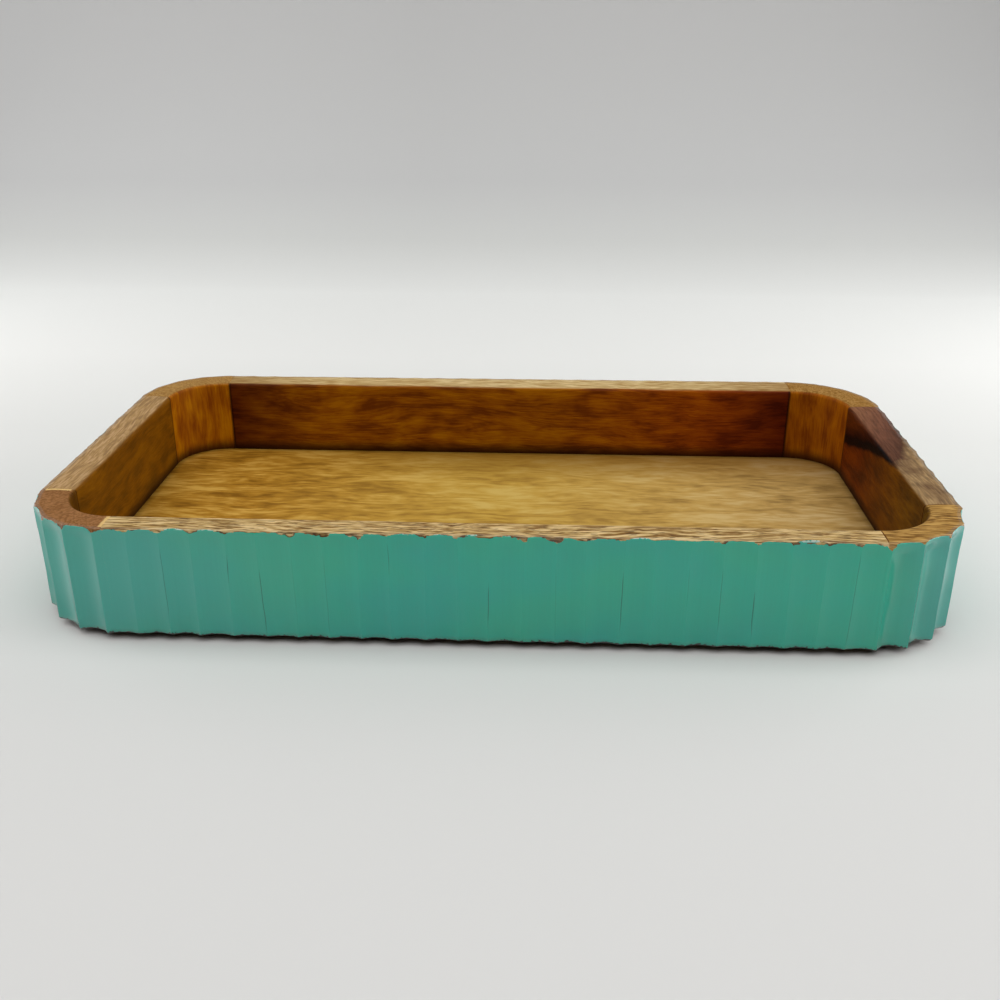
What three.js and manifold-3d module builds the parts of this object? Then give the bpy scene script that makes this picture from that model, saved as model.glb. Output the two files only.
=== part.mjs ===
// A small rectangular tray in solid mango wood.
//
// Four rails and four curved corner blocks meet in doweled butt joints and make one frame. The outside of
// the frame is cut all round with upright gouge flutes and painted; the rim and the inside are bare wood.
// The base panel sits in a rebate under the frame, held by brads, and four rubber bumpers stuck to its
// underside lift the tray off the table.
//
// Millimetres, +Z up. The origin is on the table, under the middle of the tray. +X runs along its length
// and -Y is its front.

import * as THREE from "three";
import { mergeVertices } from "three/addons/utils/BufferGeometryUtils.js";
import Module from "manifold-3d";

const wasm = await Module();
wasm.setup();

// Frame
const length = 305; // over the ridges of the flutes, along X
const width = 162; // over the ridges of the flutes, along Y
const wallHeight = 38; // from the frame's underside to its rim
const wall = 11.2; // from the ridges to the inside face
const cornerRadius = 30.5; // of the ridge line, in plan
const cornerRun = 0.5; // straight stretch of a corner block between its bend and the seam
const seam = 0.2; // glue line between a rail and a corner block
const easedEdge = 1.5; // bevel sanded along the inside edge of the rim
const bendFacets = 8; // facets of a quarter bend

// Flutes
const flutePitch = 10.2; // aimed at, as each piece takes a whole number of flutes
const railFluteDepth = 1.2; // below the straight line between two ridges
const cornerFluteDepth = 1.8; // cut deeper, as the gouge bites harder on a bend
const fluteFacets = 5;

// Base panel and the rebate that it lies in
const panelThickness = 6;
const panelRecess = 1.2; // the panel's underside above the frame's underside
const rebateWidth = 5; // ledge that the panel bears on
const panelSlack = 0.5; // round the panel's edge, for movement with the seasons
const panelSeat = 0.2; // glue film between the panel and the ledge

// Dowels, two in each seam
const dowelDiameter = 5;
const dowelLength = 18;
const dowelChamfer = 0.7;
const dowelCover = 4.4; // axis from the inside face
const dowelInset = 8; // axis below the rim, and above the ledge
const dowelPlay = 0.25; // round a dowel and past its ends
const dowelFacets = 16;

// Brads through the panel into the rails
const bradSpacing = 60; // aimed at
const bradLength = 15;
const bradDiameter = 1.4;
const bradTip = 2;
const bradHeadDiameter = 2.4;
const bradHeadThickness = 0.7;
const bradPlay = 0.2;
const bradFacets = 10;

// Bumpers
const bumperHeight = 3.3;
const bumperDiameter = 12;
const bumperFootDiameter = 8; // flat that stands on the table
const bumperLip = 1.2; // straight side under the panel
const bumperInset = 17; // axis from the inside faces of the frame
const bumperGlue = 0.2;
const bumperFacets = 20;
const shoulderFacets = 5; // from the foot to the straight side

// Past a face that a cutter opens
const overcut = 1;

// Worked out from the sizes above. Frame pieces are made with z = 0 at the frame's underside.
const panelBottom = bumperHeight + bumperGlue;
const frameBottom = panelBottom - panelRecess;
const ledge = panelRecess + panelThickness + panelSeat;
const cornerLeg = cornerRadius + cornerRun;
const insideRadius = cornerRadius - wall;
const rebateFace = wall - rebateWidth; // from the ridge line to the rebate's upright face
const dowelDepth = wall - dowelCover; // from the ridge line
const dowelHeights = { lower: ledge + dowelInset, upper: wallHeight - dowelInset };
const bradDepth = wall - rebateWidth / 2; // from the ridge line to the middle of the ledge
const railLengths = {
  long: length - 2 * (cornerLeg + seam),
  short: width - 2 * (cornerLeg + seam),
};

// Finishes
const painted = new THREE.MeshStandardMaterial({ color: "#4a9d88", roughness: 0.45, metalness: 0 });
const mango = new THREE.MeshStandardMaterial({ color: "#ad8646", roughness: 0.6, metalness: 0 });
const beech = new THREE.MeshStandardMaterial({ color: "#cfae7c", roughness: 0.7, metalness: 0 });
const steel = new THREE.MeshStandardMaterial({ color: "#9a9a98", roughness: 0.4, metalness: 1 });
const rubber = new THREE.MeshStandardMaterial({ color: "#2a2826", roughness: 0.8, metalness: 0 });

// Solids

function solidOf(geometry) {
  const bare = geometry.clone();
  bare.deleteAttribute("normal");
  bare.deleteAttribute("uv");
  const merged = mergeVertices(bare);
  const vertProperties = merged.getAttribute("position").array;
  const triVerts = new Uint32Array(merged.index.array);
  return new wasm.Manifold(new wasm.Mesh({ numProp: 3, vertProperties, triVerts }));
}

function geometryOf(solid) {
  const { vertProperties, triVerts } = solid.getMesh();
  const geometry = new THREE.BufferGeometry();
  geometry.setAttribute("position", new THREE.BufferAttribute(vertProperties, 3));
  geometry.setIndex(new THREE.BufferAttribute(triVerts, 1));
  geometry.computeVertexNormals();
  return geometry;
}

function cut(blank, cutters) {
  const remove = (solid, cutter) => solid.subtract(solidOf(cutter));
  return geometryOf(cutters.reduce(remove, solidOf(blank)));
}

function upright(outline, height) {
  const settings = { depth: height, bevelEnabled: false, curveSegments: bendFacets };
  return new THREE.ExtrudeGeometry(outline, settings);
}

// A round bar along X, with its middle at the origin.
function barAlongX(radius, barLength, facets) {
  return new THREE.CylinderGeometry(radius, radius, barLength, facets).rotateZ(Math.PI / 2);
}

// A solid turned about Z from [radius, height] pairs, listed from the bottom up.
function turned(profile, facets) {
  const points = profile.map(([radius, height]) => new THREE.Vector2(radius, height));
  return new THREE.LatheGeometry(points, facets).rotateX(Math.PI / 2);
}

// A rectangle with round corners, centred on the origin.
function roundedRectangle(sizeX, sizeY, radius) {
  const x = sizeX / 2 - radius;
  const y = sizeY / 2 - radius;
  const outline = new THREE.Shape();
  outline.absarc(x, y, radius, 0, Math.PI / 2, false);
  outline.absarc(-x, y, radius, Math.PI / 2, Math.PI, false);
  outline.absarc(-x, -y, radius, Math.PI, Math.PI * 1.5, false);
  outline.absarc(x, -y, radius, Math.PI * 1.5, Math.PI * 2, false);
  return outline;
}

function piece(name, geometry, material) {
  const mesh = new THREE.Mesh(geometry, material);
  mesh.name = name;
  return mesh;
}

// Flutes

// Points of one concave flute after its first ridge. The wood is on the left of the way from ridge to
// ridge, and the gouge's centre is on the right.
function flute(from, to, depth) {
  const chord = to.clone().sub(from);
  const half = chord.length() / 2;
  const radius = (half ** 2 + depth ** 2) / (2 * depth);
  const outward = new THREE.Vector2(chord.y, -chord.x).normalize();
  const middle = from.clone().add(to).multiplyScalar(0.5);
  const centre = middle.addScaledVector(outward, radius - depth);
  const start = from.clone().sub(centre).angle();
  const end = to.clone().sub(centre).angle();
  return new THREE.ArcCurve(centre.x, centre.y, radius, start, end, true).getPoints(fluteFacets).slice(1);
}

// Points of a fluted edge along a ridge line, in a whole number of flutes.
function flutedEdge(ridgeLine, depth) {
  const count = Math.max(1, Math.round(ridgeLine.getLength() / flutePitch));
  const ridges = ridgeLine.getSpacedPoints(count);
  const flutes = ridges.slice(1).flatMap((ridge, i) => flute(ridges[i], ridge, depth));
  return [ridges[0], ...flutes];
}

// Frame pieces. A rail runs along X with its ridge line on y = 0 and its inside face at y = wall.

// Wedge that bevels the inside edge of the rim. It leans across the wall from the ridge line towards the
// inside, and runs from the origin along across x up.
function rimBevel(across, run) {
  const top = wallHeight + overcut;
  const wedge = new THREE.Shape([
    new THREE.Vector2(wall - easedEdge - overcut, top),
    new THREE.Vector2(wall + overcut, wallHeight - easedEdge - overcut),
    new THREE.Vector2(wall + overcut, top),
  ]);
  const up = new THREE.Vector3(0, 0, 1);
  const along = across.clone().cross(up);
  return upright(wedge, run).applyMatrix4(new THREE.Matrix4().makeBasis(across, up, along));
}

function dowelHole() {
  return barAlongX(dowelDiameter / 2 + dowelPlay, dowelLength + 2 * dowelPlay, dowelFacets);
}

function bradHole() {
  const radius = bradDiameter / 2 + bradPlay;
  const tip = panelRecess + bradLength + bradPlay;
  return turned([[0, 0], [radius, 0], [radius, tip], [0, tip]], bradFacets);
}

// Places of the brads along a rail, evenly from seam to seam.
function bradPlaces(railLength) {
  const count = Math.max(2, Math.round(railLength / bradSpacing));
  return Array.from({ length: count }, (_, i) => ((i + 0.5) / count - 0.5) * railLength);
}

function railGeometry(railLength) {
  const end = railLength / 2;
  const ridgeLine = new THREE.Path().moveTo(-end, 0).lineTo(end, 0);
  const inside = [new THREE.Vector2(end, wall), new THREE.Vector2(-end, wall)];
  const blank = upright(new THREE.Shape([...flutedEdge(ridgeLine, railFluteDepth), ...inside]), wallHeight);

  const run = railLength + 2 * overcut;
  const rebate = new THREE.BoxGeometry(run, rebateWidth + overcut, ledge + overcut);
  rebate.translate(0, rebateFace + (rebateWidth + overcut) / 2, (ledge - overcut) / 2);
  const bevel = rimBevel(new THREE.Vector3(0, 1, 0), run).translate(-run / 2, 0, 0);
  const seamMiddle = end + seam / 2;
  const dowelHoles = [-seamMiddle, seamMiddle].flatMap((x) =>
    Object.values(dowelHeights).map((z) => dowelHole().translate(x, dowelDepth, z)),
  );
  const bradHoles = bradPlaces(railLength).map((x) => bradHole().translate(x, bradDepth, 0));
  return cut(blank, [rebate, bevel, ...dowelHoles, ...bradHoles]);
}

// A corner block has its outer corner at the origin and its legs along +X and +Y. Its bend is round
// (cornerRadius, cornerRadius).
function cornerGeometry() {
  const middle = cornerRadius;
  const ridgeLine = new THREE.Path().moveTo(0, cornerLeg).lineTo(0, cornerRadius);
  ridgeLine.absarc(middle, middle, cornerRadius, Math.PI, Math.PI * 1.5, false);
  ridgeLine.lineTo(cornerLeg, 0);
  const bend = new THREE.ArcCurve(middle, middle, insideRadius, Math.PI * 1.5, Math.PI, true);
  const outline = new THREE.Shape([
    ...flutedEdge(ridgeLine, cornerFluteDepth),
    new THREE.Vector2(cornerLeg, wall),
    ...bend.getPoints(bendFacets),
    new THREE.Vector2(wall, cornerLeg),
  ]);
  const blank = upright(outline, wallHeight);

  const reach = cornerLeg + overcut;
  const rebateOutline = new THREE.Shape().moveTo(reach, reach).lineTo(reach, rebateFace);
  rebateOutline.absarc(middle, middle, insideRadius + rebateWidth, Math.PI * 1.5, Math.PI, true);
  rebateOutline.lineTo(rebateFace, reach);
  const rebate = upright(rebateOutline, ledge + overcut).translate(0, 0, -overcut);

  const low = wallHeight - easedEdge - overcut;
  const high = wallHeight + overcut;
  const roundBevel = turned(
    [[0, low], [insideRadius - overcut, low], [insideRadius + easedEdge + overcut, high], [0, high]],
    bendFacets * 4,
  );
  roundBevel.translate(middle, middle, 0);
  const run = cornerRun + overcut;
  const bevelX = rimBevel(new THREE.Vector3(0, 1, 0), run).translate(cornerRadius, 0, 0);
  const bevelY = rimBevel(new THREE.Vector3(1, 0, 0), run).translate(0, reach, 0);

  const seamMiddle = cornerLeg + seam / 2;
  const dowelHoles = Object.values(dowelHeights).flatMap((z) => [
    dowelHole().translate(seamMiddle, dowelDepth, z),
    dowelHole().rotateZ(Math.PI / 2).translate(dowelDepth, seamMiddle, z),
  ]);
  return cut(blank, [rebate, roundBevel, bevelX, bevelY, ...dowelHoles]);
}

// Fasteners

function dowelGeometry() {
  const radius = dowelDiameter / 2;
  const end = dowelLength / 2;
  const profile = [
    [0, -end],
    [radius - dowelChamfer, -end],
    [radius, dowelChamfer - end],
    [radius, end - dowelChamfer],
    [radius - dowelChamfer, end],
    [0, end],
  ];
  return turned(profile, dowelFacets).rotateY(Math.PI / 2);
}

// A brad stands on its head at z = 0.
function bradGeometry() {
  const shank = bradDiameter / 2;
  const head = bradHeadDiameter / 2;
  const profile = [
    [0, 0],
    [head, 0],
    [head, bradHeadThickness],
    [shank, bradHeadThickness],
    [shank, bradLength - bradTip],
    [0, bradLength],
  ];
  return turned(profile, bradFacets);
}

// The four sides, front first and then anticlockwise. In a side's own frame the rail runs along X, its
// outside faces -Y, and the corner block stands at the -X end.
const sides = [
  { name: "front", railLength: railLengths.long, out: width / 2, ends: ["left", "right"] },
  { name: "right", railLength: railLengths.short, out: length / 2, ends: ["front", "back"] },
  { name: "back", railLength: railLengths.long, out: width / 2, ends: ["right", "left"] },
  { name: "left", railLength: railLengths.short, out: length / 2, ends: ["back", "front"] },
];
const cornerNames = ["front_left", "front_right", "back_right", "back_left"];

// Base panel

// Holes for the brads of every side, with their heads let into the underside.
function panelBradHoles() {
  const head = bradHeadDiameter / 2 + bradPlay;
  const depth = bradHeadThickness + bradPlay;
  const headHole = turned([[0, -overcut], [head, -overcut], [head, depth], [0, depth]], bradFacets);
  const shankHole = bradHole().translate(0, 0, -panelRecess);
  return sides.flatMap((side, turn) =>
    bradPlaces(side.railLength).flatMap((x) =>
      [headHole, shankHole].map((hole) =>
        hole.clone().translate(x, bradDepth - side.out, 0).rotateZ((turn * Math.PI) / 2),
      ),
    ),
  );
}

function panelGeometry() {
  const margin = 2 * (rebateFace + panelSlack);
  const radius = insideRadius + rebateWidth - panelSlack;
  const outline = roundedRectangle(length - margin, width - margin, radius);
  return cut(upright(outline, panelThickness), panelBradHoles());
}

// Bumpers

// A bumper stands on z = 0, with a round shoulder from its foot to its straight side.
function bumperGeometry() {
  const foot = bumperFootDiameter / 2;
  const rim = bumperDiameter / 2;
  const shoulder = bumperHeight - bumperLip;
  const bend = Array.from({ length: shoulderFacets + 1 }, (_, i) => {
    const angle = ((i / shoulderFacets) * Math.PI) / 2;
    return [foot + (rim - foot) * Math.sin(angle), shoulder * (1 - Math.cos(angle))];
  });
  return turned([[0, 0], ...bend, [rim, bumperHeight], [0, bumperHeight]], bumperFacets);
}

// Assembly

const tray = new THREE.Group();
const frame = new THREE.Group();
frame.position.z = frameBottom;
tray.add(frame);

sides.forEach((side, turn) => {
  const group = new THREE.Group();
  group.rotation.z = (turn * Math.PI) / 2;
  frame.add(group);

  const rail = piece(`${side.name}_rail`, railGeometry(side.railLength), painted);
  rail.position.y = -side.out;
  group.add(rail);

  const nextSide = sides[(turn + 1) % sides.length];
  const corner = piece(`corner_${cornerNames[turn]}`, cornerGeometry(), painted);
  corner.position.set(-nextSide.out, -side.out, 0);
  group.add(corner);

  side.ends.forEach((end, i) => {
    const seamMiddle = (side.railLength + seam) / 2;
    for (const [level, height] of Object.entries(dowelHeights)) {
      const dowel = piece(`dowel_${side.name}_rail_${end}_${level}`, dowelGeometry(), beech);
      dowel.position.set(i ? seamMiddle : -seamMiddle, dowelDepth - side.out, height);
      group.add(dowel);
    }
  });

  bradPlaces(side.railLength).forEach((x, i) => {
    const brad = piece(`brad_${side.name}_${i + 1}`, bradGeometry(), steel);
    brad.position.set(x, bradDepth - side.out, panelRecess);
    group.add(brad);
  });
});

const panel = piece("base_panel", panelGeometry(), mango);
panel.position.z = panelBottom;
tray.add(panel);

for (const name of cornerNames) {
  const [depthWord, sideWord] = name.split("_");
  const bumper = piece(`bumper_${name}`, bumperGeometry(), rubber);
  const x = length / 2 - wall - bumperInset;
  const y = width / 2 - wall - bumperInset;
  bumper.position.set(sideWord === "left" ? -x : x, depthWord === "front" ? -y : y, 0);
  tray.add(bumper);
}

export default tray;
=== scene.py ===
# %% [markdown]
# # A painted tray in gouged mango wood
#
# The tray is a frame of four straight rails and four curved corner blocks round a flat base panel. A gouge
# has cut upright flutes all round the outside, a brush has painted them teal, and the rim and the inside
# are bare oiled wood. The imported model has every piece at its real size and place. This script gives the
# pieces that show the unevenness of hand work, and gives every surface its finish.

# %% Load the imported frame
import math

import bpy
import numpy as np
from mathutils import Matrix, Vector


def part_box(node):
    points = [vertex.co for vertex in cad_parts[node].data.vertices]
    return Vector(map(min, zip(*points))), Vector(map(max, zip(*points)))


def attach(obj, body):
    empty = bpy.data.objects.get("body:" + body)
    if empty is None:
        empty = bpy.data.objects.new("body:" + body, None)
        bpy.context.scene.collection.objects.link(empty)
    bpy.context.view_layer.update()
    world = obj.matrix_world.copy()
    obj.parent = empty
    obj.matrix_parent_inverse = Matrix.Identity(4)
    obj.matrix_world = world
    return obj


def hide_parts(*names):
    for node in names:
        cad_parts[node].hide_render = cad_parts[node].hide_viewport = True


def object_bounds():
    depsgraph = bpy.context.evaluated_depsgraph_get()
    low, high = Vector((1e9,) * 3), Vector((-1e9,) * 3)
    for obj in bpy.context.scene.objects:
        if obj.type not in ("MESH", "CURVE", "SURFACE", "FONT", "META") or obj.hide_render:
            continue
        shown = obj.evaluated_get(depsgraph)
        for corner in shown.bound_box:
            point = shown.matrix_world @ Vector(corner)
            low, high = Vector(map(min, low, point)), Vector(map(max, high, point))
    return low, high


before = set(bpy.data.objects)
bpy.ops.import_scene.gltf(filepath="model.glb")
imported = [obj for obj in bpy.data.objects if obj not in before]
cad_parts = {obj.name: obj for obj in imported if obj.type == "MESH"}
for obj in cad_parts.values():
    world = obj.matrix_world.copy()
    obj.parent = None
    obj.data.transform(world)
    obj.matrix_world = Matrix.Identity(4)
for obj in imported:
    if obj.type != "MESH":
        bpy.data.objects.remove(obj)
cad_low, cad_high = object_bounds()
print("pieces in the frame:", len(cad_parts))

# %% [markdown]
# ## Sizes
#
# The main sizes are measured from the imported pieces, so they can't drift away from them. Blender works in
# metres, but a tray maker thinks in millimetres, so shapes are worked out in millimetres and turned to
# metres once, when a mesh is made.

# %% Sizes read from the frame, in millimetres
MM = 0.001
rail_low, rail_high = (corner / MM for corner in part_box("front_rail"))
block_low, block_high = (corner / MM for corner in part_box("corner_front_left"))
half_length = cad_high.x / MM
half_width = cad_high.y / MM
foot = rail_low.z  # underside of the frame
rim = rail_high.z
wall = rail_high.y - rail_low.y
block_leg = block_high.x - block_low.x  # how far a corner block reaches along each side
seam = half_length - block_leg - rail_high.x
floor_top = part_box("base_panel")[1].z / MM
print(f"wall {wall:.1f} thick, {rim - foot:.1f} high, seams {seam:.2f}, floor at {floor_top:.1f}")

# %% [markdown]
# ## The ridge line
#
# The ridges between the flutes all touch one line in plan: straight along the rails and round at the
# corners. Each wall piece is a stretch of that line, so one function gives the points of a rail and one
# those of a corner block. Both are written for the front side and turned by quarter turns for the others.

# %% Points along the ridge line
bend_radius = 30.5  # of the ridge line at a corner
bend_run = block_leg - bend_radius  # straight stretch between a bend and its seam
sides = ["front", "right", "back", "left"]


def reaches(side):
    """Half the tray's size square to a side, and half its size along that side."""
    return (half_width, half_length) if side in ("front", "back") else (half_length, half_width)


def quarter_turned(x, y, side):
    for _ in range(sides.index(side)):
        x, y = -y, x
    return x, y


def rail_line(side, s):
    """Ridge points s mm along a rail, with the direction to the inside."""
    reach, along = reaches(side)
    start = -(along - block_leg - seam)
    flat = np.zeros_like(s)
    return *quarter_turned(start + s, flat - reach, side), *quarter_turned(flat, flat + 1, side)


def bend_line(side, s):
    """Ridge points s mm along the corner block that follows a side, with the direction to the inside."""
    reach, along = reaches(side)
    arc = bend_radius * math.pi / 2
    angle = np.clip((s - bend_run) / bend_radius, 0, math.pi / 2) - math.pi / 2
    before = np.minimum(s - bend_run, 0)
    after = np.maximum(s - bend_run - arc, 0)
    x = along - bend_radius + bend_radius * np.cos(angle) + before
    y = -reach + bend_radius + bend_radius * np.sin(angle) + after
    return *quarter_turned(x, y, side), *quarter_turned(-np.cos(angle), -np.sin(angle), side)


wall_plan = []
walked = 0.0
for number, side in enumerate(sides):
    pair = [word for word in ("front", "back", "left", "right") if word in (side, sides[(number + 1) % 4])]
    rail_run = 2 * (reaches(side)[1] - block_leg - seam)
    bend_length = bend_radius * math.pi / 2 + 2 * bend_run
    for name, line, run in (
        (f"{side}_rail", rail_line, rail_run),
        ("corner_" + "_".join(pair), bend_line, bend_length),
    ):
        wall_plan.append({"name": name, "line": line, "side": side, "start": walked, "run": run})
        walked += run + seam
print(f"{len(wall_plan)} wall pieces, {walked:.1f} mm round the frame")

# %% [markdown]
# ## The gouge at work
#
# A flute is the path of a round gouge pushed down the wood, so across it the surface is a shallow scoop
# and two scoops meet in a sharp ridge. The frame was gouged after it was glued up, so flutes run on over
# the seams. No two are alike: the ridges stray and lean a little, some scoops are deeper, and the paint has
# a fine crease along some ridges. The two front bends are cut deepest. Near the rim the gouge was eased out
# of the wood, so the flutes get shallower there, and along the front it tore up small lips. More wood was
# left on the outside at the right, the back and the left. Last of all a sander took the ridges down along
# the rim, some further than others.

# %% Ridges round the frame and how each was worked
flute_pitch = 10.2
past_seam = 2.5  # the first ridge of a bend lies this far past its seam
gouging = {
    # flute depth at the start and end of a piece, the share of it that is sanded off the ridges at the rim,
    # and how far down the ridges are sanded at the start and end of the piece
    "front_rail": (0.95, 0.75, 0.95, 1.4, 0.9),
    "corner_front_right": (2.2, 2.7, 0.5, 1.3, 1.3),
    "right_rail": (1.1, 1.1, 0.5, 1.5, 1.5),
    "corner_back_right": (1.0, 1.0, 0.6, 2.2, 2.2),
    "back_rail": (0.9, 0.9, 0.7, 2.0, 2.0),
    "corner_back_left": (1.0, 1.0, 0.7, 2.2, 2.2),
    "left_rail": (0.9, 0.9, 0.8, 2.0, 1.8),
    "corner_front_left": (2.1, 1.9, 0.5, 1.3, 1.3),
}
thicker = {
    # how much more wood was left on the outside at the rim, at the start and end of a piece
    "front_rail": (0.0, 0.0),
    "corner_front_right": (0.0, 0.6),
    "right_rail": (0.6, 1.5),
    "corner_back_right": (1.5, 2.2),
    "back_rail": (2.2, 0.0),
    "corner_back_left": (0.0, 0.8),
    "left_rail": (0.8, 0.6),
    "corner_front_left": (0.6, 0.0),
}
ahead = {"corner_front_right": 1.5}  # how much sooner a piece's ridges come
run_out = 5.0  # over this height below the rim the flutes get shallower
rim_depth = 0.5  # share of a flute's depth that is left at the rim
hand_seed = 31
rng = np.random.default_rng(hand_seed)
ridges, depths, sanded, sand_heights, torn = [], [], [], [], []
for plan in wall_plan:
    overhang = seam + past_seam if plan["line"] is rail_line else -past_seam
    low = plan["start"] - overhang
    high = plan["start"] + plan["run"] + overhang
    flutes = round((high - low) / flute_pitch)
    first_depth, last_depth, sanded_share, first_down, last_down = gouging[plan["name"]]
    ridges.extend(np.linspace(low, high, flutes + 1)[:-1] - ahead.get(plan["name"], 0.0))
    depths.extend(np.linspace(first_depth, last_depth, flutes))
    sanded.extend(np.linspace(first_depth, last_depth, flutes) * sanded_share * rim_depth)
    sand_heights.extend(np.linspace(first_down, last_down, flutes))
    torn.extend([1.0 if "front" in plan["name"] else 0.0] * flutes)
count = len(ridges)
hand = {
    "place": np.array(ridges) + rng.normal(0, 0.4, count),
    "lean": rng.normal(0, 0.6, count),
    "depth": np.array(depths) * rng.uniform(0.85, 1.15, count),
    "sanded": np.array(sanded) * rng.uniform(0.6, 1.4, count),
    "sand_height": np.array(sand_heights) * rng.uniform(0.25, 2.0, count),
    "blunt": rng.uniform(0, 0.1, count),
    "burr": rng.normal(-0.25, 0.5, count).clip(0, 0.8) * torn,
    "crease": rng.uniform(-0.65, 0.95, count).clip(0, 1),
    "crease_top": rng.uniform(0.5, 1.0, count),
    "crease_foot": rng.uniform(-0.1, 0.6, count),
}
shared = 3  # the last flutes run on into the first ones
for key, values in hand.items():
    again = values[:shared] + (walked if key == "place" else 0)
    hand[key] = np.append(values, again)
ridge_numbers = np.arange(count + shared)
print(count, "flutes round the frame")

# %% [markdown]
# ## The section of the wall
#
# Going round the section from the foot of the outside: up the painted face, over the sanded edge of the
# rim, across the rim, round its inside edge, down the inside, under to the ledge that holds the panel, and
# back along the underside. A displacement map could fake the flutes, but real vertices give true shadows
# and a true scalloped edge. So the wall is a grid: columns follow the ridges, closer together where they
# are sharp, and every column has the same rows. Four values go with each vertex for the finishes: how far
# it is sanded below the paint, how deep the paint has creased, how far inside the tray it is, and how far
# from the seam.

# %% The grid of one wall piece
across_flute = np.array(
    [0, 0.02, 0.05, 0.1, 0.16, 0.23, 0.31, 0.4, 0.5, 0.6, 0.69, 0.77, 0.84, 0.9, 0.95, 0.98]
)
rows_up = np.concatenate([np.linspace(0, 0.88, 22), np.linspace(0.88, 1, 14)[1:]])
rows_edge = np.linspace(0, math.pi / 2, 4)[1:]
rows_rim = np.concatenate([[0.03, 0.07, 0.13], np.linspace(0.2, 1, 9)])
rows_round = np.linspace(0, math.pi / 2, 8)[1:]
rows_down = np.linspace(0, 1, 14)[1:]
rows_under = np.linspace(0, math.pi / 2, 5)[1:]
rebate_width = 5.0
ledge = floor_top + 0.05
edge_round = 0.15  # outside edge of the rim
crown = 0.2  # the rim is a little higher in its middle
inside_round = 1.6  # sanded inside edge of the rim
foot_round = 0.3  # inside edge over the floor
foot_ease = 0.8  # outside edge over the table
crease_depth = 0.2
arris = 0.15  # eased edge at a seam, across and down
lap = 0.3  # paint over the edge of the rim in the scoops
seam_half = seam / 2 - 0.001  # glue and paint close the seam but for a hair
settle = 4.0  # neighbours are alike at their seam, and unlike from this far on
foot_share, taper = 1.15, 0.2  # share of a flute's depth at the foot, and how much less there is at the rim
foot_more = 0.4  # share of the extra wood on the outside that is left at the foot
sander_curve = 0.6  # under 1 the sanded slope starts steeply and flattens towards the rim
crease_start, crease_end = 0.15, 0.1  # shares of the height over which a crease begins and ends
lip_fall = 14  # a torn lip ends within a fourteenth of the rim's width

# Each slow unevenness has a wavelength and a height, in millimetres or as a share of what it changes.
foot_ripple = (9, 0.5)
depth_ripple = (23, 0.12)
sanding_ripple = (6, 0.6)
rim_ripple = (17, 0.12)
rim_fibre_ripple = (4.3, 0.06)
inside_ripple = (70, 0.25)
lean_ripple = (16, 0.5)


def ripple(rng, x, wave, height):
    """Slow seeded unevenness: three sine waves of about one wavelength."""
    total = np.zeros_like(x, dtype=float)
    for stretch in (0.6, 1.0, 1.7):
        total += np.sin(x * 2 * math.pi / (wave * stretch) + rng.uniform(0, 2 * math.pi))
    return total * height / 3


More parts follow.
